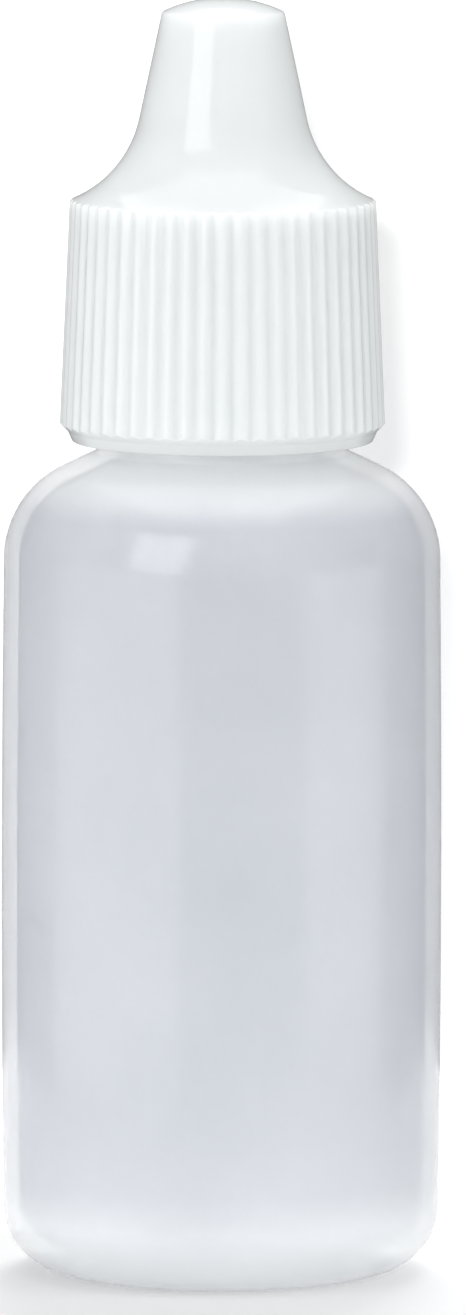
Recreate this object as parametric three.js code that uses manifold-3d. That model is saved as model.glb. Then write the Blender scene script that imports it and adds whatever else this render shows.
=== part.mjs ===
// Needle tip applicator bottle, closed and standing upright.
// A blown squeeze bottle holds a press-in tip plug with a steel needle. A tall ribbed cap screws over
// them onto the neck, and a fine pin in the cap's crown stands in the needle and keeps it clear.
// Sizes are in millimetres, levels are heights above the foot, +Z is up and the origin is on the axis.

import * as THREE from "three";
import { mergeVertices } from "three/addons/utils/BufferGeometryUtils.js";
import Module from "manifold-3d";

// Bottle: foot, body and shoulder
const BODY_DIAMETER = 25.6;
const BARREL_DROP = 0.15; // how far the wall draws in from the middle to its ends
const BODY_WALL = 0.9;
const HEEL_RADIUS = 3.8;
const FOOT_RING_WIDTH = 1.3;
const BASE_THICKNESS = 1.4;
const PUSH_UP = 0.9; // rise of the base's middle above the foot ring
const SHOULDER_LEVEL = 47.87; // where the shoulder meets the collar of the neck
const SHOULDER_SLOPE = THREE.MathUtils.degToRad(25.6); // below the horizontal
const SHOULDER_RADIUS = 5.9;

// Bottle: neck, with the collar as wide as the thread
const COLLAR_DIAMETER = 14.6;
const COLLAR_HEIGHT = 1.0;
const NECK_DIAMETER = 13.0;
const NECK_BORE = 10.8;
const NECK_HEIGHT = 12.93;

// Tip plug
const SEAT_GAP = 0.03; // between faces that rest on each other
const FLANGE_DIAMETER = 12.8;
const FLANGE_THICKNESS = 0.8;
const PLUG_DEPTH = 7.0;
const PLUG_WALL = 1.0;
const PLUG_GAP = 0.12; // between the plug's wall and the neck's bore
const SEAL_BEAD_GAP = 0.03; // between a sealing bead and the neck's bore
const SEAL_BEAD_COUNT = 2;
const SEAL_BEAD_WIDTH = 1.0;
const SEAL_BEAD_PITCH = 2.6;
const FUNNEL_DROP = 1.4; // how far the funnel's mouth lies under the flange
const NOZZLE_HEIGHT = 3.4;
const NOZZLE_FOOT_DIAMETER = 6.0;
const NOZZLE_TIP_DIAMETER = 2.8;
const NOZZLE_FILLET = 0.7;

// Needle
const NEEDLE_DIAMETER = 1.27;
const NEEDLE_BORE = 0.84;
const NEEDLE_GRIP = 3.0; // length held in the nozzle
const NEEDLE_REACH = 6.4; // length that stands out of the nozzle
const NEEDLE_GAP = 0.03; // around the needle in the nozzle

// Pin in the cap's crown
const PIN_DIAMETER = 0.5;
const PIN_PASS = 0.5; // how far the pin's end passes through the needle
const PIN_SOCKET_DEPTH = 1.6;
const PIN_GAP = 0.03;

// Cap
const CAP_STAND_OFF = 0.6; // lip above the shoulder's top edge
const THREAD_GAP = 0.15; // between the cap's bore and the collar
const LIP_WALL = 1.26;
const LIP_HEIGHT = 0.6;
const LIP_SPREAD = 0.27; // how far the lip widens upwards
const SKIRT_WALL = 1.22; // under the ribs at the skirt's top
const SKIRT_DRAFT = THREE.MathUtils.degToRad(2.4);
const RIB_COUNT = 54;
const RIB_DEPTH = 0.2;
const CEILING_WALL = 0.76; // from the ceiling over the flange to the skirt's top edge
const FLARE_RADIUS = 6.66;
const FLARE_ANGLE = THREE.MathUtils.degToRad(68); // from the axis, at the skirt's top edge
const CONE_DRAFT = THREE.MathUtils.degToRad(12);
const CONE_WALL = 1.3;
const NEEDLE_END_GAP = 0.2;
const BOSS_DIAMETER = 2.2;
const BOSS_HEIGHT = 0.8;
const CROWN_WALL = 0.95;
const CROWN_DOME = 0.76;

// Faceting and cutting
const ARC_STEPS = 3;
const RIB_STEPS = 6;
const BOTTLE_SIDES = 64;
const CAP_SIDES = 72;
const CAVITY_SIDES = 48;
const PLUG_SIDES = 40;
const NEEDLE_SIDES = 16;
const PIN_SIDES = 12;
const CUT_MARGIN = 0.5; // how far a cutting body passes the faces that it cuts
const SAME_POINT = 1e-6;

// Levels and radii that the pieces share
const neckRadius = NECK_DIAMETER / 2;
const neckBoreRadius = NECK_BORE / 2;
const collarRadius = COLLAR_DIAMETER / 2;
const rimLevel = SHOULDER_LEVEL + NECK_HEIGHT;
const flangeLevel = rimLevel + SEAT_GAP;
const flangeTop = flangeLevel + FLANGE_THICKNESS;
const nozzleTop = flangeTop + NOZZLE_HEIGHT;
const needleFoot = nozzleTop - NEEDLE_GRIP;
const needleTop = nozzleTop + NEEDLE_REACH;
const needleRadius = NEEDLE_DIAMETER / 2;
const bossLevel = needleTop + NEEDLE_END_GAP;
const pinRadius = PIN_DIAMETER / 2;
const pinSocketTop = bossLevel + PIN_SOCKET_DEPTH;

const wasm = await Module();
wasm.setup();

// Revolves an outline, drawn as radius and level, about the axis
function revolve(outline, sides) {
  const drawn = outline.getPoints(ARC_STEPS);
  const points = drawn.filter((point, i) => i === 0 || point.distanceTo(drawn[i - 1]) > SAME_POINT);
  return new THREE.LatheGeometry(points, sides).rotateX(Math.PI / 2);
}

// Turns closed geometry into a solid that can be cut
function toSolid(geometry) {
  const bare = geometry.clone();
  bare.deleteAttribute("normal");
  bare.deleteAttribute("uv");
  const merged = mergeVertices(bare);
  const triangles = [];
  for (let i = 0; i < merged.index.count; i += 3) {
    const corners = [merged.index.getX(i), merged.index.getX(i + 1), merged.index.getX(i + 2)];
    if (new Set(corners).size === corners.length) triangles.push(...corners);
  }
  const mesh = new wasm.Mesh({
    numProp: 3,
    vertProperties: merged.attributes.position.array,
    triVerts: new Uint32Array(triangles),
  });
  return new wasm.Manifold(mesh);
}

// Turns a cut solid back into geometry
function toGeometry(solid) {
  const mesh = solid.getMesh();
  const geometry = new THREE.BufferGeometry();
  geometry.setAttribute("position", new THREE.BufferAttribute(mesh.vertProperties, 3));
  geometry.setIndex(new THREE.BufferAttribute(mesh.triVerts, 1));
  geometry.computeVertexNormals();
  return geometry;
}

// Blown bottle: foot ring with a raised base, heel, slightly barrelled wall, shoulder, collar and neck
function bottleGeometry() {
  const bodyRadius = BODY_DIAMETER / 2;
  const endRadius = bodyRadius - BARREL_DROP;
  const heelRing = endRadius - HEEL_RADIUS;
  const footInner = heelRing - FOOT_RING_WIDTH;
  const shoulderRing = endRadius - SHOULDER_RADIUS;
  const shoulderEdge = shoulderRing + SHOULDER_RADIUS * Math.sin(SHOULDER_SLOPE);
  const slopeFall = Math.tan(SHOULDER_SLOPE);
  const shoulderArcLevel =
    SHOULDER_LEVEL - (shoulderEdge - collarRadius) * slopeFall - SHOULDER_RADIUS * Math.cos(SHOULDER_SLOPE);
  const innerHeelRadius = HEEL_RADIUS - BODY_WALL;
  const innerHeelLevel = BASE_THICKNESS + innerHeelRadius;
  const innerNeckLevel =
    SHOULDER_LEVEL + (collarRadius - neckBoreRadius) * slopeFall - BODY_WALL / Math.cos(SHOULDER_SLOPE);
  const wallMiddle = (HEEL_RADIUS + shoulderArcLevel) / 2;
  const barrelControl = bodyRadius + BARREL_DROP;
  const shoulderSweep = Math.PI / 2 - SHOULDER_SLOPE;

  const outline = new THREE.Path();
  outline.moveTo(0, PUSH_UP);
  outline.quadraticCurveTo(footInner / 2, PUSH_UP, footInner, 0);
  outline.absarc(heelRing, HEEL_RADIUS, HEEL_RADIUS, -Math.PI / 2, 0, false);
  outline.quadraticCurveTo(barrelControl, wallMiddle, endRadius, shoulderArcLevel);
  outline.absarc(shoulderRing, shoulderArcLevel, SHOULDER_RADIUS, 0, shoulderSweep, false);
  outline.lineTo(collarRadius, SHOULDER_LEVEL);
  outline.lineTo(collarRadius, SHOULDER_LEVEL + COLLAR_HEIGHT);
  outline.lineTo(neckRadius, SHOULDER_LEVEL + COLLAR_HEIGHT);
  outline.lineTo(neckRadius, rimLevel);
  outline.lineTo(neckBoreRadius, rimLevel);
  outline.lineTo(neckBoreRadius, innerNeckLevel);
  outline.absarc(shoulderRing, shoulderArcLevel, SHOULDER_RADIUS - BODY_WALL, shoulderSweep, 0, true);
  outline.quadraticCurveTo(barrelControl - BODY_WALL, wallMiddle, endRadius - BODY_WALL, innerHeelLevel);
  outline.absarc(heelRing, innerHeelLevel, innerHeelRadius, 0, -Math.PI / 2, true);
  outline.lineTo(footInner, BASE_THICKNESS);
  outline.quadraticCurveTo(footInner / 2, BASE_THICKNESS + PUSH_UP, 0, BASE_THICKNESS + PUSH_UP);
  return revolve(outline, BOTTLE_SIDES);
}

// Press-in plug: flange on the rim, beaded wall in the bore, funnel inside and nozzle on top
function plugGeometry() {
  const wallRadius = neckBoreRadius - PLUG_GAP;
  const innerRadius = wallRadius - PLUG_WALL;
  const beadRadius = neckBoreRadius - SEAL_BEAD_GAP;
  const plugFoot = flangeLevel - PLUG_DEPTH;
  const funnelMouth = flangeLevel - FUNNEL_DROP;
  const seatRadius = needleRadius + NEEDLE_GAP;
  const nozzleFoot = NOZZLE_FOOT_DIAMETER / 2;

  const outline = new THREE.Path();
  outline.moveTo(innerRadius, plugFoot);
  outline.lineTo(wallRadius, plugFoot);
  for (let bead = SEAL_BEAD_COUNT; bead > 0; bead--) {
    const beadLevel = flangeLevel - bead * SEAL_BEAD_PITCH;
    const bulge = 2 * beadRadius - wallRadius;
    outline.lineTo(wallRadius, beadLevel - SEAL_BEAD_WIDTH / 2);
    outline.quadraticCurveTo(bulge, beadLevel, wallRadius, beadLevel + SEAL_BEAD_WIDTH / 2);
  }
  outline.lineTo(wallRadius, flangeLevel);
  outline.lineTo(FLANGE_DIAMETER / 2, flangeLevel);
  outline.lineTo(FLANGE_DIAMETER / 2, flangeTop);
  outline.lineTo(nozzleFoot + NOZZLE_FILLET, flangeTop);
  outline.quadraticCurveTo(nozzleFoot, flangeTop, nozzleFoot, flangeTop + NOZZLE_FILLET);
  outline.lineTo(NOZZLE_TIP_DIAMETER / 2, nozzleTop);
  outline.lineTo(seatRadius, nozzleTop);
  outline.lineTo(seatRadius, needleFoot);
  outline.lineTo(innerRadius, funnelMouth);
  outline.closePath();
  return revolve(outline, PLUG_SIDES);
}

// Needle: a plain steel tube, gripped in the nozzle
function needleGeometry() {
  const outline = new THREE.Path();
  outline.moveTo(NEEDLE_BORE / 2, needleFoot);
  outline.lineTo(needleRadius, needleFoot);
  outline.lineTo(needleRadius, needleTop);
  outline.lineTo(NEEDLE_BORE / 2, needleTop);
  outline.closePath();
  return revolve(outline, NEEDLE_SIDES);
}

// Pin: a straight wire from its socket in the crown down through the needle
function pinGeometry() {
  const pinTop = pinSocketTop - SEAT_GAP;
  const pinFoot = needleFoot - PIN_PASS;
  const length = pinTop - pinFoot;
  const pin = new THREE.CylinderGeometry(pinRadius, pinRadius, length, PIN_SIDES).rotateX(Math.PI / 2);
  return pin.translate(0, 0, pinFoot + length / 2);
}

// Outline of the skirt from above: ribs that run in soft waves, with a valley on the X axis
function ribbedShape(crestRadius) {
  const points = [];
  for (let step = 0; step < RIB_COUNT * RIB_STEPS; step++) {
    const wave = (2 * Math.PI * step) / RIB_STEPS;
    const angle = wave / RIB_COUNT;
    const radius = crestRadius - (RIB_DEPTH * (1 + Math.cos(wave))) / 2;
    points.push(new THREE.Vector2(radius * Math.cos(angle), radius * Math.sin(angle)));
  }
  return new THREE.Shape(points);
}

// Ribbed shape drawn up the axis and narrowed by the skirt's draft
function draftedRibs(footRadius, footLevel, topLevel) {
  const height = topLevel - footLevel;
  const ribs = new THREE.ExtrudeGeometry(ribbedShape(footRadius), { depth: height, bevelEnabled: false });
  const place = ribs.attributes.position;
  for (let i = 0; i < place.count; i++) {
    const scale = (footRadius - place.getZ(i) * Math.tan(SKIRT_DRAFT)) / footRadius;
    place.setXYZ(i, place.getX(i) * scale, place.getY(i) * scale, place.getZ(i));
  }
  return ribs.translate(0, 0, footLevel);
}

// Cap: lip, drafted ribbed skirt, concave flare, cone and domed crown, hollowed out inside
function capGeometry() {
  const boreRadius = collarRadius + THREAD_GAP;
  const lipLevel = SHOULDER_LEVEL + CAP_STAND_OFF;
  const lipTop = lipLevel + LIP_HEIGHT;
  const lipRadius = boreRadius + LIP_WALL;
  const lipTopRadius = lipRadius + LIP_SPREAD;
  const ceiling = flangeTop + SEAT_GAP;
  const skirtTop = ceiling + CEILING_WALL;
  const skirtTopRadius = boreRadius + SKIRT_WALL + RIB_DEPTH;
  const crownCeiling = bossLevel + BOSS_HEIGHT;
  const crownEdge = crownCeiling + CROWN_WALL;
  const crownTop = crownEdge + CROWN_DOME;

  // The revolved hull stands outside the ribs at the skirt, where the drafted ribs cut it back
  const hullRadius = skirtTopRadius + (skirtTop - lipTop) * Math.tan(SKIRT_DRAFT) + CUT_MARGIN;
  const chamferRise = hullRadius - lipTopRadius;
  const flareFall = (hullRadius - skirtTopRadius) / Math.tan(FLARE_ANGLE);
  const flareRing = skirtTopRadius + FLARE_RADIUS * Math.cos(FLARE_ANGLE);
  const flareLevel = skirtTop + FLARE_RADIUS * Math.sin(FLARE_ANGLE);
  const coneFoot = flareLevel - FLARE_RADIUS * Math.sin(CONE_DRAFT);
  const coneFootRadius = flareRing - FLARE_RADIUS * Math.cos(CONE_DRAFT);
  const crownRadius = coneFootRadius - (crownEdge - coneFoot) * Math.tan(CONE_DRAFT);

  const hull = new THREE.Path();
  hull.moveTo(0, lipLevel);
  hull.lineTo(lipRadius, lipLevel);
  hull.lineTo(lipTopRadius, lipTop);
  hull.lineTo(hullRadius, lipTop + chamferRise);
  hull.lineTo(hullRadius, skirtTop - flareFall);
  hull.absarc(flareRing, flareLevel, FLARE_RADIUS, Math.PI + FLARE_ANGLE, Math.PI + CONE_DRAFT, true);
  hull.lineTo(crownRadius, crownEdge);
  hull.quadraticCurveTo(crownRadius / 2, crownTop, 0, crownTop);

  const cavityTopRadius = crownRadius + CROWN_WALL * Math.tan(CONE_DRAFT) - CONE_WALL;
  const cavityFootRadius = cavityTopRadius + (crownCeiling - ceiling) * Math.tan(CONE_DRAFT);
  const cavityFoot = lipLevel - CUT_MARGIN;
  const cavity = new THREE.Path();
  cavity.moveTo(0, cavityFoot);
  cavity.lineTo(boreRadius, cavityFoot);
  cavity.lineTo(boreRadius, ceiling);
  cavity.lineTo(cavityFootRadius, ceiling);
  cavity.lineTo(cavityTopRadius, crownCeiling);
  cavity.lineTo(BOSS_DIAMETER / 2, crownCeiling);
  cavity.lineTo(BOSS_DIAMETER / 2, bossLevel);
  cavity.lineTo(pinRadius + PIN_GAP, bossLevel);
  cavity.lineTo(pinRadius + PIN_GAP, pinSocketTop);
  cavity.lineTo(0, pinSocketTop);

  const ribFoot = lipLevel - CUT_MARGIN;
  const ribFootRadius = skirtTopRadius + (skirtTop - ribFoot) * Math.tan(SKIRT_DRAFT);
  const ribs = draftedRibs(ribFootRadius, ribFoot, crownTop + CUT_MARGIN);
  const shell = toSolid(revolve(hull, CAP_SIDES)).intersect(toSolid(ribs));
  return toGeometry(shell.subtract(toSolid(revolve(cavity, CAVITY_SIDES))));
}

// Finishes: natural polyethylene, white polypropylene and stainless steel
function plastic(colour, roughness) {
  return new THREE.MeshStandardMaterial({ color: colour, roughness, metalness: 0 });
}

function steel(colour, roughness) {
  return new THREE.MeshStandardMaterial({ color: colour, roughness, metalness: 1 });
}

function addPiece(group, name, geometry, material) {
  const mesh = new THREE.Mesh(geometry, material);
  mesh.name = name;
  group.add(mesh);
}

const applicatorBottle = new THREE.Group();
addPiece(applicatorBottle, "bottle", bottleGeometry(), plastic(0xd3d8e0, 0.4));
addPiece(applicatorBottle, "tip_plug", plugGeometry(), plastic(0xdde1e5, 0.4));
addPiece(applicatorBottle, "needle", needleGeometry(), steel(0xc4c6c8, 0.25));
addPiece(applicatorBottle, "needle_pin", pinGeometry(), steel(0xc4c6c8, 0.3));
addPiece(applicatorBottle, "cap", capGeometry(), plastic(0xeef2f3, 0.3));

export default applicatorBottle;
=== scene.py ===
"""Looks of the needle tip applicator bottle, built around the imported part, in metres."""

import logging
import math
from collections.abc import Callable, Sequence
from dataclasses import dataclass
from enum import Enum

import bmesh
import bpy
from mathutils import Matrix, Vector


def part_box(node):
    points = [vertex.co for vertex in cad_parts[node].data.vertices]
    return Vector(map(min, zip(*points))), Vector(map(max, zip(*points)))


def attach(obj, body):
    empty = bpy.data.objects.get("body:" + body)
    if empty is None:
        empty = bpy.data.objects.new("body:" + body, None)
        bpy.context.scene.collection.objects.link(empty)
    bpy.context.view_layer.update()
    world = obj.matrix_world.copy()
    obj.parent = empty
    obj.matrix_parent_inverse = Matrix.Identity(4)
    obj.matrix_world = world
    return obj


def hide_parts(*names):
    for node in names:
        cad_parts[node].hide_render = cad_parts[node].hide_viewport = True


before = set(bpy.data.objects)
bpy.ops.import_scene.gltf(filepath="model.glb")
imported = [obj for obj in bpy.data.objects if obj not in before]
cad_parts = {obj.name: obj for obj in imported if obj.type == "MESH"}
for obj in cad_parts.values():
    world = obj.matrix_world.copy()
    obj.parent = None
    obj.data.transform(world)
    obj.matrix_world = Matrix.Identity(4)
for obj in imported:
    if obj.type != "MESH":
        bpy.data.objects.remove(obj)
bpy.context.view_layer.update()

LOG = logging.getLogger("applicator_bottle")
MM = 0.001
FULL_TURN = 2 * math.pi
WELD_DISTANCE = 0.0005 * MM
PHOTO_WIDTH = 466
PHOTO_HEIGHT = 1315

# Height of the photograph's frame at the bottle's axis, in millimetres
FRAME_HEIGHT = 76.33

# The neck's and the cap's thread fit each other, so they share their lead, in millimetres, and their turns
THREAD_LEAD = 2.117
THREAD_TURNS = 2.6

# Sockets of the colour mixing node, which shares its sockets' names with other kinds of mix
MIX_SHARE, MIX_FIRST, MIX_SECOND, MIX_RESULT = 0, 6, 7, 2

EVEN_SCATTER = (1.0, 1.0, 1.0)

Outline = list[Vector]


class Body(Enum):
    """The bodies that pieces ride on."""

    BOTTLE = "bottle"
    TIP = "tip"
    PIN = "pin"
    CAP = "cap"


class Slot(Enum):
    """The record's material slots."""

    BOTTLE = "natural_polyethylene"
    PLUG = "plug_polyethylene"
    STEEL = "stainless_steel"
    CAP = "white_polypropylene"


@dataclass(frozen=True)
class Corner:
    """A corner of a revolved outline, in millimetres, with the radius that rounds it."""

    radius: float
    level: float
    round: float = 0.0


def linear(hex_colour: str) -> tuple[float, float, float, float]:
    """Turns an sRGB hex colour into linear values.

    Args:
        hex_colour: Six hex digits, red first.

    Returns:
        Linear red, green and blue, with an alpha of one.
    """
    shares = [int(hex_colour[i : i + 2], 16) / 255 for i in (0, 2, 4)]
    values = [s / 12.92 if s <= 0.04045 else ((s + 0.055) / 1.055) ** 2.4 for s in shares]
    return (*values, 1.0)


def smooth_step(share: float) -> float:
    """Eases a share of a way from 0 to 1."""
    held = min(max(share, 0.0), 1.0)
    return held * held * (3 - 2 * held)


def rounded(corners: Sequence[Corner], steps: int, closed: bool = False) -> Outline:
    """Draws an outline through its corners, with an arc at each that has a radius.

    Args:
        corners: The corners in order, in millimetres.
        steps: Segments in each arc.
        closed: Whether the last corner joins the first.

    Returns:
        Points of radius and level, in metres.
    """
    places = [Vector((c.radius, c.level)) for c in corners]
    points: Outline = []
    for i, corner in enumerate(corners):
        is_end = not closed and i in (0, len(corners) - 1)
        if corner.round == 0.0 or is_end:
            points.append(places[i] * MM)
            continue
        back = (places[i - 1] - places[i]).normalized()
        ahead = (places[(i + 1) % len(places)] - places[i]).normalized()
        half = back.angle(ahead) / 2
        centre = places[i] + (back + ahead).normalized() * corner.round / math.sin(half)
        first = places[i] + back * corner.round / math.tan(half) - centre
        last = places[i] + ahead * corner.round / math.tan(half) - centre
        points += [(centre + first.slerp(last, s / steps) * corner.round) * MM for s in range(steps + 1)]
    return points


def add_chain(
    mesh: bmesh.types.BMesh, outline: Outline, angle: float, closed: bool
) -> list[bmesh.types.BMEdge]:
    """Adds an outline to a mesh as a chain of edges in a half plane through the axis.

    Args:
        mesh: The mesh to add to.
        outline: Points of radius and level, in metres.
        angle: Turn of the half plane about the axis.
        closed: Whether the chain joins up.

    Returns:
        The new edges in order.
    """
    verts = [mesh.verts.new((p.x * math.cos(angle), p.x * math.sin(angle), p.y)) for p in outline]
    pairs = list(zip(verts, verts[1:]))
    if closed:
        pairs.append((verts[-1], verts[0]))
    return [mesh.edges.new(pair) for pair in pairs]


def weld(mesh: bmesh.types.BMesh) -> None:
    """Merges doubles and turns all faces outwards."""
    bmesh.ops.remove_doubles(mesh, verts=mesh.verts, dist=WELD_DISTANCE)
    bmesh.ops.recalc_face_normals(mesh, faces=mesh.faces)


def revolve(outline: Outline, sides: int, closed: bool = False) -> bmesh.types.BMesh:
    """Spins an outline about the axis into a closed mesh.

    Args:
        outline: Points of radius and level, in metres.
        sides: Steps of the spin.
        closed: Whether the outline joins up, as for a tube.

    Returns:
        The mesh, welded and facing outwards.
    """
    mesh = bmesh.new()
    add_chain(mesh, outline, 0.0, closed)
    bmesh.ops.spin(
        mesh,
        geom=[*mesh.verts, *mesh.edges],
        cent=(0, 0, 0),
        axis=(0, 0, 1),
        angle=FULL_TURN,
        steps=sides,
        use_merge=True,
    )
    weld(mesh)
    return mesh


def finish_piece(mesh: bmesh.types.BMesh, name: str, sharp_degrees: float = 40.0) -> bpy.types.Object:
    """Turns a mesh into an object in the scene, shaded smooth between its sharp edges.

    Args:
        mesh: The finished mesh, which is freed.
        name: Name of the piece.
        sharp_degrees: Angle past which an edge stays sharp.

    Returns:
        The object, at the origin.
    """
    data = bpy.data.meshes.new(name)
    mesh.to_mesh(data)
    mesh.free()
    data.shade_smooth()
    data.set_sharp_from_angle(angle=math.radians(sharp_degrees))
    piece = bpy.data.objects.new(name, data)
    bpy.context.scene.collection.objects.link(piece)
    return piece


def seat(piece: bpy.types.Object, material: bpy.types.Material, body: Body, node: str) -> None:
    """Dresses a piece and fixes it to its body in place of a node.

    Args:
        piece: The piece.
        material: Its finish.
        body: The body that it moves with.
        node: The node that it stands for.
    """
    piece.data.materials.append(material)
    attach(piece, body.value)
    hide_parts(node)
    LOG.info("%s: %d faces on %s", piece.name, len(piece.data.polygons), body.value)


@dataclass(frozen=True)
class ScrewThread:
    """A right-hand thread as a swelling of a round wall.

    The sizes are in millimetres: depth stands out from the wall, foot and crest are widths along the axis.
    """

    lead: float
    depth: float
    foot: float
    crest: float
    first_level: float
    turns: float
    run_out_turns: float = 0.12

    def height(self, angle: float, level: float) -> float:
        """Gives how far the thread stands out at a place on the wall.

        Args:
            angle: Angle about the axis, in radians.
            level: Height, in millimetres.

        Returns:
            The height of the thread there, in millimetres.
        """
        along = (level - self.first_level) / self.lead - (angle % FULL_TURN) / FULL_TURN
        turn = round(along)
        off_crest = abs(along - turn) * self.lead
        wound = turn + (angle % FULL_TURN) / FULL_TURN
        flank = (self.foot / 2 - off_crest) / ((self.foot - self.crest) / 2)
        run_out = min(wound, self.turns - wound) / self.run_out_turns
        return self.depth * smooth_step(flank) * smooth_step(run_out)


def move_radially(mesh: bmesh.types.BMesh, shift: Callable[[float, float, float], float]) -> None:
    """Moves each vertex straight out from the axis.

    Args:
        mesh: The mesh to shape.
        shift: Gives the move in millimetres from radius, angle and level, in millimetres and radians.
    """
    for vert in mesh.verts:
        radius = vert.co.xy.length
        if radius > 0:
            angle = math.atan2(vert.co.y, vert.co.x)
            out = shift(radius / MM, angle, vert.co.z / MM) * MM
            vert.co.xy *= (radius + out) / radius


def add_node(
    tree: bpy.types.NodeTree, kind: str, settings: dict[str, object], inputs: dict[str | int, object]
) -> bpy.types.Node:
    """Adds a node with its settings, and sets or links its inputs.

    Args:
        tree: The node tree.
        kind: The node's type name.
        settings: Properties of the node.
        inputs: A value, or an output socket to link, for each input by name or number.

    Returns:
        The node.
    """
    node = tree.nodes.new(kind)
    for name, value in settings.items():
        setattr(node, name, value)
    for socket, value in inputs.items():
        if isinstance(value, bpy.types.NodeSocket):
            tree.links.new(value, node.inputs[socket])
        else:
            node.inputs[socket].default_value = value
    return node


def bare_material(name: str) -> tuple[bpy.types.Material, bpy.types.NodeTree, bpy.types.Node]:
    """Makes a material with only its output node.

    Args:
        name: Name of the material.

    Returns:
        The material, its tree and its output node.
    """
    material = bpy.data.materials.new(name)
    material.use_nodes = True
    material.node_tree.nodes.clear()
    output = add_node(material.node_tree, "ShaderNodeOutputMaterial", {}, {})
    return material, material.node_tree, output


def stretched_scale(width: float, length: float) -> tuple[float, float, float]:
    """Gives the scale of a pattern drawn out along the axis, from its size in millimetres.

    Args:
        width: Size across the axis.
        length: Size along the axis.

    Returns:
        The scale along each coordinate.
    """
    across = 1 / (width * MM)
    return across, across, 1 / (length * MM)


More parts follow.
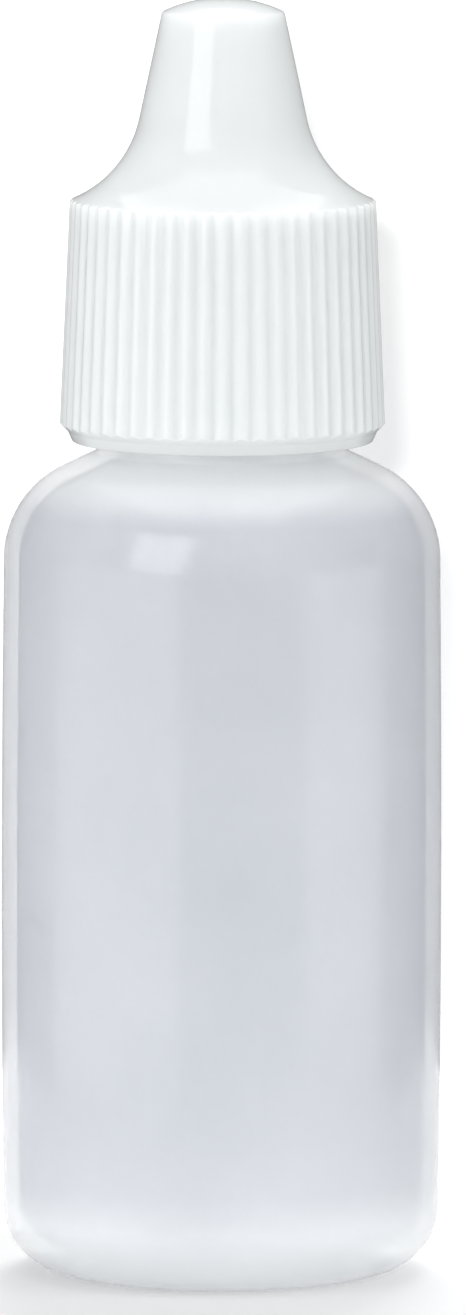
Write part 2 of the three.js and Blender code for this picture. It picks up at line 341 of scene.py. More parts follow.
@dataclass(frozen=True)
class BlownPolyethylene:
    """Natural low-density polyethylene, blown: milky and see-through, satin, with a slightly wavy wall.

    The wall is thin, so light goes straight through a share of it, and more of it at the neck's root. The
    shoulder and the heel are paler: partly the thicker plastic, and partly painted light that lifts the shade
    which the cap casts on the shoulder's root and the shade under the heel's foot. So the colour and the
    cover follow the level. Sizes in millimetres.
    """

    wall_colour: str = "C0C3C9"
    # Colour of the thicker heel and shoulder, which is also painted light that lifts their shade
    thick_and_painted_light_colour: str = "EDEFF0"
    heel_paleness_and_painted_light: float = 0.68
    roughness: float = 0.1
    scuffed_roughness: float = 0.16
    scuffs_from: float = 0.35
    scuffs_to: float = 0.65
    ior: float = 1.51
    shine: float = 1.0
    wall_cover: float = 0.5
    root_cover: float = 0.4
    shade_share: float = 0.5
    scatter: float = 1.0
    scatter_depth: float = 1.5
    cloud_size: float = 9.0
    cloud_detail: float = 3.0
    cloud_share: float = 0.25
    wave_width: float = 7.0
    wave_length: float = 30.0
    wave_detail: float = 1.0
    wave_height: float = 0.12
    grain_size: float = 0.35
    grain_detail: float = 2.0
    grain_height: float = 0.004

    def material(
        self, heel: Sequence[float], shoulder: Sequence[float], root: Sequence[float], neck: Sequence[float]
    ) -> bpy.types.Material:
        """Makes the finish for a bottle of given levels, all in millimetres.

        Args:
            heel: Where the thick heel starts to turn pale, and the base's level, palest with painted light.
            shoulder: Where it starts to turn pale, and where it is palest, with painted light under the cap.
            root: Where the neck's root starts to clear, and where it is clearest.
            neck: Where the neck starts to be like the wall again, and where it is.

        Returns:
            The material.
        """
        # The eye gets a pale milky grey with a satin shine, through which the far side dimly shows
        material, tree, output = bare_material("natural_ldpe_blown")
        place = add_node(tree, "ShaderNodeTexCoord", {}, {}).outputs["Object"]
        level = add_node(tree, "ShaderNodeSeparateXYZ", {}, {0: place}).outputs["Z"]
        cloud = add_node(
            tree,
            "ShaderNodeTexNoise",
            {},
            {"Vector": place, "Scale": 1 / (self.cloud_size * MM), "Detail": self.cloud_detail},
        )
        heel_pale_and_painted_light_mask, shoulder_pale_and_painted_light_mask, in_root, in_neck = (
            add_node(
                tree,
                "ShaderNodeMapRange",
                {"interpolation_type": "SMOOTHSTEP"},
                {"Value": level, "From Min": start * MM, "From Max": end * MM},
            ).outputs[0]
            for start, end in (heel, shoulder, root, neck)
        )
        shoulder_paleness_and_painted_light = add_node(
            tree, "ShaderNodeMapRange", {}, {"Value": in_neck, "To Min": shoulder_pale_and_painted_light_mask, "To Max": 0.0}
        )
        # Paler heel foot and shoulder root: thicker plastic, and painted light that lifts their shade
        paleness_and_painted_light = add_node(
            tree,
            "ShaderNodeMath",
            {"operation": "MULTIPLY_ADD"},
            {0: heel_pale_and_painted_light_mask, 1: self.heel_paleness_and_painted_light, 2: shoulder_paleness_and_painted_light.outputs[0]},
        )
        clouded_paleness_and_painted_light = add_node(
            tree,
            "ShaderNodeMath",
            {"operation": "MULTIPLY_ADD", "use_clamp": True},
            {0: cloud.outputs["Fac"], 1: self.cloud_share, 2: paleness_and_painted_light.outputs[0]},
        )
        colour = add_node(
            tree,
            "ShaderNodeMix",
            {"data_type": "RGBA"},
            {
                MIX_SHARE: clouded_paleness_and_painted_light.outputs[0],
                MIX_FIRST: linear(self.wall_colour),
                MIX_SECOND: linear(self.thick_and_painted_light_colour),
            },
        )
        clear = add_node(
            tree,
            "ShaderNodeMapRange",
            {},
            {"Value": in_root, "To Min": self.wall_cover, "To Max": self.root_cover},
        )
        cover = add_node(
            tree,
            "ShaderNodeMapRange",
            {},
            {"Value": in_neck, "To Min": clear.outputs[0], "To Max": self.wall_cover},
        )

        # Milky plastic passes more light than it lets the eye see through, so its shade is pale
        paths = add_node(tree, "ShaderNodeLightPath", {}, {})
        shade = add_node(
            tree,
            "ShaderNodeMapRange",
            {},
            {"Value": paths.outputs["Is Shadow Ray"], "To Min": 1.0, "To Max": self.shade_share},
        )
        held = add_node(
            tree,
            "ShaderNodeMath",
            {"operation": "MULTIPLY"},
            {0: cover.outputs[0], 1: shade.outputs[0]},
        )
        scuffs = add_node(
            tree,
            "ShaderNodeMapRange",
            {},
            {
                "Value": cloud.outputs["Fac"],
                "From Min": self.scuffs_from,
                "From Max": self.scuffs_to,
                "To Min": self.roughness,
                "To Max": self.scuffed_roughness,
            },
        )
        drawn = add_node(
            tree,
            "ShaderNodeMapping",
            {},
            {"Vector": place, "Scale": stretched_scale(self.wave_width, self.wave_length)},
        )
        waves = add_node(
            tree,
            "ShaderNodeTexNoise",
            {},
            {"Vector": drawn.outputs[0], "Scale": 1.0, "Detail": self.wave_detail},
        )
        wall = add_node(
            tree,
            "ShaderNodeBump",
            {},
            {"Height": waves.outputs["Fac"], "Distance": self.wave_height * MM, "Strength": 1.0},
        )

        # The mould's real grain is finer, and is drawn as coarse as it needs to show
        grain = add_node(
            tree,
            "ShaderNodeTexNoise",
            {},
            {"Vector": place, "Scale": 1 / (self.grain_size * MM), "Detail": self.grain_detail},
        )
        skin = add_node(
            tree,
            "ShaderNodeBump",
            {},
            {
                "Height": grain.outputs["Fac"],
                "Distance": self.grain_height * MM,
                "Strength": 1.0,
                "Normal": wall.outputs["Normal"],
            },
        )
        shader = add_node(
            tree,
            "ShaderNodeBsdfPrincipled",
            {},
            {
                "Base Color": colour.outputs[MIX_RESULT],
                "Roughness": scuffs.outputs[0],
                "IOR": self.ior,
                "Specular IOR Level": self.shine,
                "Alpha": held.outputs[0],
                "Subsurface Weight": self.scatter,
                "Subsurface Radius": EVEN_SCATTER,
                "Subsurface Scale": self.scatter_depth * MM,
                "Normal": skin.outputs["Normal"],
            },
        )
        tree.links.new(shader.outputs["BSDF"], output.inputs["Surface"])
        return material


@dataclass(frozen=True)
class MouldedPlastic:
    """A moulded plastic: even colour with a faint cloud, and a skin with fine grain. Sizes in millimetres."""

    name: str
    colour: str
    cloud_colour: str
    roughness: float
    worn_roughness: float
    ior: float
    transmission: float = 0.0
    scatter: float = 0.0
    scatter_depth: float = 0.5
    cloud_size: float = 5.0
    cloud_detail: float = 4.0
    wear_from: float = 0.4
    wear_to: float = 0.7
    grain_size: float = 0.3
    grain_detail: float = 2.0
    grain_height: float = 0.002

    def material(self) -> bpy.types.Material:
        """Makes the finish."""
        # The eye gets an even pale colour that light sinks into, under a clean moulded shine
        material, tree, output = bare_material(self.name)
        place = add_node(tree, "ShaderNodeTexCoord", {}, {}).outputs["Object"]
        cloud = add_node(
            tree,
            "ShaderNodeTexNoise",
            {},
            {"Vector": place, "Scale": 1 / (self.cloud_size * MM), "Detail": self.cloud_detail},
        )
        colour = add_node(
            tree,
            "ShaderNodeMix",
            {"data_type": "RGBA"},
            {
                MIX_SHARE: cloud.outputs["Fac"],
                MIX_FIRST: linear(self.colour),
                MIX_SECOND: linear(self.cloud_colour),
            },
        )
        wear = add_node(
            tree,
            "ShaderNodeMapRange",
            {},
            {
                "Value": cloud.outputs["Fac"],
                "From Min": self.wear_from,
                "From Max": self.wear_to,
                "To Min": self.roughness,
                "To Max": self.worn_roughness,
            },
        )

        # The mould's real grain is finer, and is drawn as coarse as it needs to show
        grain = add_node(
            tree,
            "ShaderNodeTexNoise",
            {},
            {"Vector": place, "Scale": 1 / (self.grain_size * MM), "Detail": self.grain_detail},
        )
        skin = add_node(
            tree, "ShaderNodeBump", {}, {"Height": grain.outputs["Fac"], "Distance": self.grain_height * MM}
        )
        shader = add_node(
            tree,
            "ShaderNodeBsdfPrincipled",
            {},
            {
                "Base Color": colour.outputs[MIX_RESULT],
                "Roughness": wear.outputs[0],
                "IOR": self.ior,
                "Transmission Weight": self.transmission,
                "Subsurface Weight": self.scatter,
                "Subsurface Radius": EVEN_SCATTER,
                "Subsurface Scale": self.scatter_depth * MM,
                "Normal": skin.outputs["Normal"],
            },
        )
        tree.links.new(shader.outputs["BSDF"], output.inputs["Surface"])
        return material


@dataclass(frozen=True)
class DrawnSteel:
    """Drawn stainless steel: a grey metal with fine lines along its length. Sizes in millimetres."""

    colour: str = "C9CACC"
    roughness: float = 0.22
    line_roughness: float = 0.38
    lines_from: float = 0.3
    lines_to: float = 0.7
    line_width: float = 0.06
    line_length: float = 4.0
    line_detail: float = 2.0

    def material(self) -> bpy.types.Material:
        """Makes the finish."""
        # The eye gets a grey metal whose long, soft highlight breaks up into fine lines
        material, tree, output = bare_material("drawn_stainless_steel")
        place = add_node(tree, "ShaderNodeTexCoord", {}, {}).outputs["Object"]

        # The lines that drawing leaves are finer, and are shown as coarse as they need to be seen
        stretched = add_node(
            tree,
            "ShaderNodeMapping",
            {},
            {"Vector": place, "Scale": stretched_scale(self.line_width, self.line_length)},
        )
        lines = add_node(
            tree,
            "ShaderNodeTexNoise",
            {},
            {"Vector": stretched.outputs[0], "Scale": 1.0, "Detail": self.line_detail},
        )
        polish = add_node(
            tree,
            "ShaderNodeMapRange",
            {},
            {
                "Value": lines.outputs["Fac"],
                "From Min": self.lines_from,
                "From Max": self.lines_to,
                "To Min": self.roughness,
                "To Max": self.line_roughness,
            },
        )
        shader = add_node(
            tree,
            "ShaderNodeBsdfPrincipled",
            {},
            {"Base Color": linear(self.colour), "Metallic": 1.0, "Roughness": polish.outputs[0]},
        )
        tree.links.new(shader.outputs["BSDF"], output.inputs["Surface"])
        return material


@dataclass
class Bottle:
    """The blown bottle with its threaded neck. Sizes in millimetres.

    The four shares place where the finish changes: the first is of the heel's radius, up from the floor, and
    the others are of the shoulder's radius, down from the shoulder's level.
    """

    body_radius: float
    rim_level: float
    barrel_drop: float = 0.13
    wall: float = 0.9
    heel_radius: float = 3.8
    foot_ring_width: float = 1.3
    foot_round: float = 0.4
    base_thickness: float = 1.4
    push_up: float = 0.9
    shoulder_level: float = 47.87
    shoulder_slope: float = math.radians(25.6)
    shoulder_radius: float = 5.9
    collar_radius: float = 7.3
    collar_height: float = 1.0
    collar_round: float = 0.3
    neck_radius: float = 6.5
    neck_bore_radius: float = 5.4
    rim_round: float = 0.25
    heel_share: float = 1.6
    pale_share: float = 0.6
    clear_share: float = 0.45
    root_share: float = 0.1
    sides: int = 192
    arc_steps: int = 12
    wall_steps: int = 24
    thread_row: float = 0.15
    thread: ScrewThread = ScrewThread(
        lead=THREAD_LEAD, depth=0.72, foot=1.45, crest=0.5, first_level=51.6, turns=THREAD_TURNS
    )

    @property
    def collar_top(self) -> float:
        """Gives the level of the collar's top."""
        return self.shoulder_level + self.collar_height

    def barrel_radius(self, level: float, low: float, high: float) -> float:
        """Gives the wall's radius at a level between its two ends."""
        share = 2 * (level - low) / (high - low) - 1
        return self.body_radius - self.barrel_drop * share * share

    def outline(self) -> Outline:
        """Draws the bottle's section from the base's middle, up outside and down inside."""
        end = self.body_radius - self.barrel_drop
        fall = math.tan(self.shoulder_slope)
        corner_level = self.shoulder_level - (end - self.collar_radius) * fall
        run = self.shoulder_radius * math.tan((math.pi / 2 - self.shoulder_slope) / 2)
        low, high = self.heel_radius, corner_level - run
        steps = range(1, self.wall_steps)
        levels = [low + (high - low) * i / self.wall_steps for i in steps]
        foot_inner = end - self.heel_radius - self.foot_ring_width
        neck_height = self.rim_level - self.collar_top
        rows = math.ceil(neck_height / self.thread_row)
        neck_levels = [self.collar_top + neck_height * i / rows for i in range(2, rows - 1)]
        inner_end = end - self.wall
        inner_heel = self.heel_radius - self.wall
        inner_drop = self.wall / math.cos(self.shoulder_slope)
        inner_corner = self.shoulder_level - (inner_end - self.collar_radius) * fall - inner_drop
        inner_neck = self.shoulder_level + (self.collar_radius - self.neck_bore_radius) * fall - inner_drop
        base_middle = self.base_thickness + self.push_up
        dome_round = 2 * foot_inner
        corners = [
            Corner(0, self.push_up),
            Corner(foot_inner / 2, self.push_up, dome_round),
            Corner(foot_inner, 0, self.foot_round),
            Corner(end, 0, self.heel_radius),
            *[Corner(self.barrel_radius(z, low, high), z) for z in levels],
            Corner(end, corner_level, self.shoulder_radius),
            Corner(self.collar_radius, self.shoulder_level, self.collar_round),
            Corner(self.collar_radius, self.collar_top, self.collar_round),
            Corner(self.neck_radius, self.collar_top, self.collar_round),
            *[Corner(self.neck_radius, z) for z in neck_levels],
            Corner(self.neck_radius, self.rim_level, self.rim_round),
            Corner(self.neck_bore_radius, self.rim_level, self.rim_round),
            Corner(self.neck_bore_radius, inner_neck, self.wall),
            Corner(inner_end, inner_corner, self.shoulder_radius - self.wall),
            *[Corner(self.barrel_radius(z, low, high) - self.wall, z) for z in reversed(levels)],
            Corner(inner_end, self.base_thickness, inner_heel),
            Corner(foot_inner, self.base_thickness, self.foot_round),
            Corner(foot_inner / 2, base_middle, dome_round),
            Corner(0, base_middle),
        ]
        return rounded(corners, self.arc_steps)

    def swelling(self, radius: float, angle: float, level: float) -> float:
        """Gives how far the thread swells the neck."""
        on_neck = level > self.collar_top
        on_wall = abs(radius - self.neck_radius) < self.rim_round / 2
        return self.thread.height(angle, level) if on_neck and on_wall else 0.0

    def build(self) -> None:
        """Spins the section, raises the thread and dresses the bottle."""
        mesh = revolve(self.outline(), self.sides)
        move_radially(mesh, self.swelling)
        piece = finish_piece(mesh, "bottle_shell")
        root_level = self.shoulder_level - self.root_share * self.shoulder_radius
        # The palest colour, at the heel's foot and the shoulder's root, is partly painted light on their
        # shade
        finish = BlownPolyethylene().material(
            heel=(self.heel_share * self.heel_radius, self.base_thickness),
            shoulder=(self.shoulder_level - self.pale_share * self.shoulder_radius, root_level),
            root=(self.shoulder_level - self.clear_share * self.shoulder_radius, root_level),
            neck=(self.collar_top, self.collar_top + self.collar_height),
        )
        seat(piece, finish, Body.BOTTLE, "bottle")


@dataclass
class TipPlug:
    """The press-in plug with its nozzle. Sizes in millimetres."""

    foot_level: float
    top_level: float
    flange_radius: float = 6.4
    flange_thickness: float = 0.8
    nozzle_height: float = 3.4
    wall_radius: float = 5.28
    wall: float = 1.0
    bead_rise: float = 0.09
    bead_width: float = 1.0
    bead_pitch: float = 2.6
    bead_count: int = 2
    funnel_drop: float = 1.4
    nozzle_foot_radius: float = 3.0
    nozzle_tip_radius: float = 1.4
    seat_radius: float = 0.665
    grip: float = 3.0
    fillet: float = 0.7
    edge_round: float = 0.15
    sides: int = 128
    arc_steps: int = 6

    def outline(self) -> Outline:
        """Draws the plug's section as a closed ring."""
        flange_top = self.top_level - self.nozzle_height
        flange_level = flange_top - self.flange_thickness
        inner = self.wall_radius - self.wall
        half_bead = self.bead_width / 2
        bead_levels = [flange_level - n * self.bead_pitch for n in range(self.bead_count, 0, -1)]
        beads = [
            Corner(self.wall_radius + rise, level + offset, self.bead_width / 4)
            for level in bead_levels
            for rise, offset in ((0, -half_bead), (self.bead_rise, 0), (0, half_bead))
        ]
        corners = [
            Corner(inner, self.foot_level, self.edge_round),
            Corner(self.wall_radius, self.foot_level, self.edge_round),
            *beads,
            Corner(self.wall_radius, flange_level, self.edge_round / 2),
            Corner(self.flange_radius, flange_level, self.edge_round),
            Corner(self.flange_radius, flange_top, self.edge_round),
            Corner(self.nozzle_foot_radius, flange_top, self.fillet),
            Corner(self.nozzle_tip_radius, self.top_level, self.edge_round),
            Corner(self.seat_radius, self.top_level, self.edge_round / 2),
            Corner(self.seat_radius, self.top_level - self.grip),
            Corner(inner, flange_level - self.funnel_drop, self.fillet),
        ]
        return rounded(corners, self.arc_steps, closed=True)

    def build(self) -> None:
        """Spins the section and dresses the plug."""
        piece = finish_piece(revolve(self.outline(), self.sides, closed=True), "plug_body")
        finish = MouldedPlastic(
            name="natural_ldpe_moulded",
            colour="DCE1E6",
            cloud_colour="E6E9EC",
            roughness=0.3,
            worn_roughness=0.38,
            ior=1.51,
            transmission=0.35,
        )
        seat(piece, finish.material(), Body.TIP, "tip_plug")


@dataclass
class Needle:
    """The blunt steel needle. Sizes in millimetres."""

    foot_level: float
    top_level: float
    radius: float
    bore_radius: float = 0.42
    edge_round: float = 0.05
    sides: int = 48
    arc_steps: int = 4

    def build(self) -> None:
        """Spins the tube's section and dresses it."""
        corners = [
            Corner(self.bore_radius, self.foot_level, self.edge_round),
            Corner(self.radius, self.foot_level, self.edge_round),
            Corner(self.radius, self.top_level, self.edge_round),
            Corner(self.bore_radius, self.top_level, self.edge_round),
        ]
        outline = rounded(corners, self.arc_steps, closed=True)
        piece = finish_piece(revolve(outline, self.sides, closed=True), "needle_tube")
        seat(piece, DrawnSteel().material(), Body.TIP, "needle")


@dataclass
class NeedlePin:
    """The clearing pin in the cap's crown. Sizes in millimetres."""

    foot_level: float
    top_level: float
    radius: float
    tip_round: float = 0.12
    sides: int = 32
    arc_steps: int = 5

    def build(self) -> None:
        """Spins the wire's section and dresses it."""
        corners = [
            Corner(0, self.foot_level),
            Corner(self.radius, self.foot_level, self.tip_round),
            Corner(self.radius, self.top_level, self.tip_round),
            Corner(0, self.top_level),
        ]
        piece = finish_piece(revolve(rounded(corners, self.arc_steps), self.sides), "pin_wire")
        seat(piece, DrawnSteel(roughness=0.28).material(), Body.PIN, "needle_pin")


@dataclass
class Cap:
    """The ribbed screw cap. Sizes in millimetres."""

    lip_level: float
    top_level: float
    bore_radius: float = 7.45
    lip_radius: float = 8.71
    lip_top_radius: float = 8.98
    lip_height: float = 0.6
    lip_round: float = 0.12
    ceiling_drop: float = 12.48
    skirt_top_drop: float = 11.72
    skirt_top_radius: float = 8.87
    skirt_draft: float = math.radians(2.4)
    rib_count: int = 54
    rib_depth: float = 0.16
    rib_columns: int = 8
    rim_round: float = 0.2
    flare_radius: float = 6.66
    flare_angle: float = math.radians(68)
    flare_steps: int = 24
    cone_draft: float = math.radians(12)
    cone_wall: float = 1.3
    crown_dome: float = 0.76
    crown_wall: float = 0.95
    crown_round: float = 0.3
    boss_radius: float = 1.1
    boss_drop: float = 2.51
    socket_radius: float = 0.28
    socket_drop: float = 0.91
    inner_round: float = 0.2
    arc_steps: int = 8
    thread_row: float = 0.2
    thread: ScrewThread = ScrewThread(
        lead=THREAD_LEAD, depth=0.7, foot=1.4, crest=0.45, first_level=50.54, turns=THREAD_TURNS
    )

    def rib_depth_at(self, column: int) -> float:
        """Gives how far a column of one rib lies under the crests, which run in a soft wave."""
        return self.rib_depth * (1 + math.cos(FULL_TURN * column / self.rib_columns)) / 2

    def outline(self, depth: float) -> Outline:
        """Draws the cap's section where the ribs lie a given depth under their crests.

        Args:
            depth: Depth under the crests, in millimetres.

        Returns:
            The section from the socket's end, down inside and up outside to the crown.
        """
        ceiling = self.top_level - self.ceiling_drop
        skirt_top = self.top_level - self.skirt_top_drop
        crown_edge = self.top_level - self.crown_dome
        crown_ceiling = crown_edge - self.crown_wall
        lip_top = self.lip_level + self.lip_height
        taper = math.tan(self.skirt_draft)

        # The flare is an arc, which the side of the ribs cuts at its own radius
        flare_ring = self.skirt_top_radius + self.flare_radius * math.cos(self.flare_angle)
        flare_level = skirt_top + self.flare_radius * math.sin(self.flare_angle)
        top_radius = self.skirt_top_radius - depth
        start = math.acos((flare_ring - top_radius) / self.flare_radius)
        sweep = self.cone_draft - start
        turns = [start + sweep * i / self.flare_steps for i in range(self.flare_steps + 1)]
        flare = [
            Corner(
                flare_ring - self.flare_radius * math.cos(t),
                flare_level - self.flare_radius * math.sin(t),
            )
            for t in turns
        ]
        top_level = flare[0].level
        crown_radius = flare[-1].radius - (crown_edge - flare[-1].level) * math.tan(self.cone_draft)
        foot_radius = self.skirt_top_radius + (skirt_top - lip_top) * taper - depth
        foot_level = lip_top + foot_radius - self.lip_top_radius
        cavity_top = crown_radius + self.crown_wall * math.tan(self.cone_draft) - self.cone_wall
        cavity_foot = cavity_top + (crown_ceiling - ceiling) * math.tan(self.cone_draft)
        boss_level = self.top_level - self.boss_drop
        socket_top = self.top_level - self.socket_drop
        dome_round = 2 * crown_radius
        rows = math.ceil((ceiling - self.lip_level) / self.thread_row)
        bore_levels = [ceiling + (self.lip_level - ceiling) * i / rows for i in range(2, rows - 1)]
        corners = [
            Corner(0, socket_top),
            Corner(self.socket_radius, socket_top),
            Corner(self.socket_radius, boss_level, self.inner_round / 2),
            Corner(self.boss_radius, boss_level, self.inner_round),
            Corner(self.boss_radius, crown_ceiling, self.inner_round),
            Corner(cavity_top, crown_ceiling, self.inner_round),
            Corner(cavity_foot, ceiling, self.inner_round),
            Corner(self.bore_radius, ceiling, self.inner_round),
            *[Corner(self.bore_radius, z) for z in bore_levels],
            Corner(self.bore_radius, self.lip_level, self.inner_round),
            Corner(self.lip_radius, self.lip_level, self.lip_round),
            Corner(self.lip_top_radius, lip_top, self.lip_round / 2),
            Corner(foot_radius, foot_level, self.rim_round / 2),
            Corner(top_radius, top_level, self.rim_round),
            *flare[1:],
            Corner(crown_radius, crown_edge, self.crown_round),
            Corner(crown_radius / 2, self.top_level, dome_round),
            Corner(0, self.top_level),
        ]
        return rounded(corners, self.arc_steps)

    def inner_thread(self, radius: float, angle: float, level: float) -> float:
        """Gives the thread inside the bore, which stands towards the axis."""
        in_bore = abs(radius - self.bore_radius) < self.inner_round / 2
        below_ceiling = level < self.top_level - self.ceiling_drop
        return -self.thread.height(angle, level) if in_bore and below_ceiling else 0.0

    def build(self) -> None:
        """Bridges one rib's columns, spins copies of it round the axis and raises the thread."""
        mesh = bmesh.new()
        pitch = FULL_TURN / self.rib_count
        columns = range(self.rib_columns + 1)
        chains = [
            add_chain(mesh, self.outline(self.rib_depth_at(c)), pitch * c / self.rib_columns, closed=False)
            for c in columns
        ]
        for left, right in zip(chains, chains[1:]):
            bmesh.ops.bridge_loops(mesh, edges=[*left, *right])
        bmesh.ops.spin(
            mesh,
            geom=[*mesh.verts, *mesh.edges, *mesh.faces],
            cent=(0, 0, 0),
            axis=(0, 0, 1),
            angle=FULL_TURN - pitch,
            steps=self.rib_count - 1,
            use_duplicate=True,
        )
        weld(mesh)
        move_radially(mesh, self.inner_thread)
        piece = finish_piece(mesh, "cap_shell")
        finish = MouldedPlastic(
            name="white_polypropylene_moulded",
            colour="D5D9D9",
            cloud_colour="D9DCDC",
            roughness=0.08,
            worn_roughness=0.13,
            ior=1.49,
            scatter=1.0,
            scatter_depth=3.0,
        )
        seat(piece, finish.material(), Body.CAP, "cap")


@dataclass(frozen=True)
class Softbox:
    """A soft lamp that faces the bottle. Angles in degrees, sizes and distance in metres, power in watts."""

    name: str
    azimuth: float
    elevation: float
    distance: float
    width: float
    height: float
    power: float
    mirrored: bool = True
    casts_shadow: bool = True
    lights_floor: bool = True

    def build(self, target: Vector, floor: bpy.types.Collection) -> None:
        """Places the lamp.

        Args:
            target: The point that it faces.
            floor: The floor, which some lamps are screened from.
        """
        azimuth, elevation = math.radians(self.azimuth), math.radians(self.elevation)
        way = Vector(
            (
                math.sin(azimuth) * math.cos(elevation),
                -math.cos(azimuth) * math.cos(elevation),
                math.sin(elevation),
            )
        )
        data = bpy.data.lights.new(self.name, "AREA")
        data.shape = "RECTANGLE"
        data.size, data.size_y = self.width, self.height
        data.energy = self.power
        data.use_shadow = self.casts_shadow
        lamp = bpy.data.objects.new(self.name, data)
        lamp.visible_glossy = lamp.visible_transmission = self.mirrored
        if not self.lights_floor:
            lamp.light_linking.receiver_collection = floor
        lamp.location = target + way * self.distance
        lamp.rotation_euler = (-way).to_track_quat("-Z", "Y").to_euler()
        bpy.context.scene.collection.objects.link(lamp)


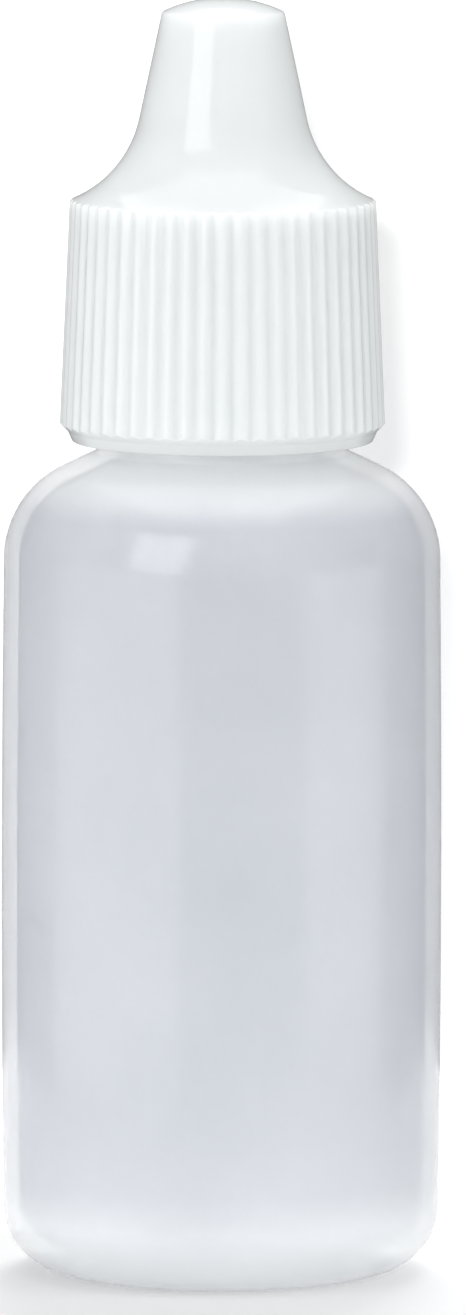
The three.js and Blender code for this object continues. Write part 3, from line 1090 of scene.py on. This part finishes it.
@dataclass
class Studio:
    """The floor, backdrop, lamps and camera. Sizes in millimetres, angles in degrees."""

    object_height: float
    backdrop_gap: float = 14.0
    floor_size: float = 160.0
    backdrop_width: float = 160.0
    backdrop_height: float = 120.0
    backdrop_colour: str = "FFFFFF"
    floor_colour: str = "FFFFFF"
    world_colour: str = "FFFFFF"
    world_strength: float = 0.26
    camera_distance: float = 1000.0
    camera_elevation: float = 6.8
    camera_roll: float = 0.13
    pixels_per_mm: float = PHOTO_HEIGHT / FRAME_HEIGHT
    axis_column: float = 221.9
    aim_row: float = 636.75
    aim_level: float = 37.0
    sensor: float = 36.0
    clip_near: float = 10.0
    clip_far: float = 20000.0

    def card(self, name: str, corners: Sequence[Vector], colour: str, only_seen: bool) -> bpy.types.Object:
        """Makes a flat pale sheet of the stage.

        Args:
            name: Name of the sheet.
            corners: Its corners, in metres, anticlockwise from its front.
            colour: Its colour.
            only_seen: Whether it only shows to the camera, and neither lights nor shades anything.

        Returns:
            The sheet.
        """
        mesh = bmesh.new()
        mesh.faces.new([mesh.verts.new(c) for c in corners])
        data = bpy.data.meshes.new(name)
        mesh.to_mesh(data)
        mesh.free()
        sheet = bpy.data.objects.new(name, data)
        bpy.context.scene.collection.objects.link(sheet)
        data.materials.append(self.paper(name, colour))
        sheet.visible_diffuse = sheet.visible_glossy = not only_seen
        sheet.visible_transmission = sheet.visible_shadow = not only_seen
        return sheet

    def paper(self, name: str, colour: str) -> bpy.types.Material:
        """Makes the matt pale paper of the stage, which vanishes when seen from behind.

        Args:
            name: Name of the sheet.
            colour: Its colour.

        Returns:
            The material.
        """
        material, tree, output = bare_material(f"matt_paper_{name}")
        front = add_node(tree, "ShaderNodeBsdfDiffuse", {}, {"Color": linear(colour)})
        back = add_node(tree, "ShaderNodeBsdfTransparent", {}, {})
        side = add_node(tree, "ShaderNodeNewGeometry", {}, {})
        sheet = add_node(
            tree,
            "ShaderNodeMixShader",
            {},
            {0: side.outputs["Backfacing"], 1: front.outputs[0], 2: back.outputs[0]},
        )
        tree.links.new(sheet.outputs[0], output.inputs["Surface"])
        return material

    def build_stage(self) -> bpy.types.Collection:
        """Lays the floor and stands the backdrop close behind the bottle.

        Returns:
            A collection that screens the floor from the lamps that use it.
        """
        half = self.floor_size / 2 * MM
        floor = [Vector((x, y, 0)) for x, y in ((-half, -half), (half, -half), (half, half), (-half, half))]
        screened = bpy.data.collections.new("screened_floor")
        screened.objects.link(self.card("floor", floor, self.floor_colour, only_seen=False))
        screened.collection_objects[0].light_linking.link_state = "EXCLUDE"
        side = self.backdrop_width / 2 * MM
        depth = self.backdrop_gap * MM
        top = self.backdrop_height * MM
        backdrop = [Vector((x, depth, z)) for x, z in ((-side, 0), (side, 0), (side, top), (-side, top))]
        self.card("backdrop", backdrop, self.backdrop_colour, only_seen=True)
        return screened

    def build_light(self, floor: bpy.types.Collection) -> None:
        """Sets a pale surround and the soft lamps.

        Args:
            floor: The floor, which the lamps in front don't light, so that the bottle's shade on it shows.
        """
        world = bpy.data.worlds.new("studio_surround")
        world.use_nodes = True
        tree = world.node_tree
        tree.nodes.clear()
        paths = add_node(tree, "ShaderNodeLightPath", {}, {})
        seen = add_node(
            tree,
            "ShaderNodeMath",
            {"operation": "MAXIMUM"},
            {0: paths.outputs["Is Camera Ray"], 1: paths.outputs["Is Transmission Ray"]},
        )
        strength = add_node(
            tree,
            "ShaderNodeMapRange",
            {},
            {"Value": seen.outputs[0], "To Min": self.world_strength, "To Max": 1.0},
        )
        surround = add_node(
            tree,
            "ShaderNodeBackground",
            {},
            {"Color": linear(self.world_colour), "Strength": strength.outputs[0]},
        )
        output = add_node(tree, "ShaderNodeOutputWorld", {}, {})
        tree.links.new(surround.outputs[0], output.inputs["Surface"])
        bpy.context.scene.world = world
        target = Vector((0, 0, self.object_height / 2 * MM))
        lamps = (
            Softbox(
                "front_lamp",
                azimuth=-6,
                elevation=14,
                distance=1.2,
                width=0.15,
                height=0.15,
                power=4.8,
                mirrored=False,
                lights_floor=False,
            ),
            Softbox(
                "fill_lamp",
                azimuth=-6,
                elevation=38,
                distance=1.2,
                width=0.3,
                height=0.3,
                power=3.3,
                mirrored=False,
                casts_shadow=False,
                lights_floor=False,
            ),
            Softbox(
                "key_softbox",
                azimuth=-36,
                elevation=24,
                distance=0.8,
                width=0.45,
                height=0.6,
                power=2.0,
                lights_floor=False,
            ),
            Softbox(
                "back_lamp",
                azimuth=172,
                elevation=46,
                distance=0.8,
                width=0.3,
                height=0.3,
                power=3.1,
                mirrored=False,
            ),
            Softbox(
                "left_card",
                azimuth=-60,
                elevation=-8,
                distance=0.8,
                width=1.2,
                height=0.3,
                power=1.0,
            ),
            Softbox(
                "left_softbox",
                azimuth=-80,
                elevation=15,
                distance=0.8,
                width=0.5,
                height=0.6,
                power=1.3,
                mirrored=False,
            ),
            Softbox(
                "right_card",
                azimuth=69,
                elevation=-8,
                distance=0.8,
                width=0.7,
                height=0.3,
                power=0.6,
            ),
            Softbox(
                "right_softbox",
                azimuth=76,
                elevation=15,
                distance=0.8,
                width=0.5,
                height=0.6,
                power=2.8,
                mirrored=False,
            ),
            Softbox(
                "top_softbox",
                azimuth=180,
                elevation=77,
                distance=0.6,
                width=0.62,
                height=0.78,
                power=1.7,
            ),
        )
        for lamp in lamps:
            lamp.build(target, floor)

    def build_camera(self) -> None:
        """Places the camera at the photograph's angle and frame."""
        elevation = math.radians(self.camera_elevation)
        aside = (PHOTO_WIDTH / 2 - self.axis_column) / self.pixels_per_mm
        drop = (PHOTO_HEIGHT / 2 - self.aim_row) / self.pixels_per_mm
        aim = Vector((aside, 0, self.aim_level - drop)) * MM
        way = Vector((0, -math.cos(elevation), math.sin(elevation)))
        data = bpy.data.cameras.new("photo_camera")
        data.sensor_width = self.sensor
        data.lens = self.sensor * self.camera_distance * self.pixels_per_mm / PHOTO_HEIGHT
        data.clip_start, data.clip_end = self.clip_near * MM, self.clip_far * MM
        camera = bpy.data.objects.new("photo_camera", data)
        roll = Matrix.Rotation(math.radians(self.camera_roll), 3, "Z")
        turn = (-way).to_track_quat("-Z", "Y").to_matrix() @ roll
        camera.matrix_world = Matrix.Translation(aim + way * self.camera_distance * MM) @ turn.to_4x4()
        bpy.context.scene.collection.objects.link(camera)
        bpy.context.scene.camera = camera

    def build(self) -> None:
        """Builds the stage, light and camera, and sets plain colours."""
        self.build_light(self.build_stage())
        self.build_camera()
        bpy.context.scene.view_settings.view_transform = "Standard"


def span(node: str) -> tuple[float, float, float]:
    """Gives a node's lowest level, highest level and radius, in millimetres."""
    low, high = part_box(node)
    return low.z / MM, high.z / MM, high.x / MM


def main() -> None:
    """Builds every piece and the studio."""
    logging.basicConfig(level=logging.INFO, format="%(name)s %(message)s")
    _, rim, body_radius = span("bottle")
    Bottle(body_radius=body_radius, rim_level=rim).build()
    plug_foot, plug_top, _ = span("tip_plug")
    TipPlug(foot_level=plug_foot, top_level=plug_top).build()
    Needle(*span("needle")).build()
    NeedlePin(*span("needle_pin")).build()
    lip, crown, _ = span("cap")
    Cap(lip_level=lip, top_level=crown).build()
    Studio(object_height=crown).build()


if __name__ == "__main__":
    main()
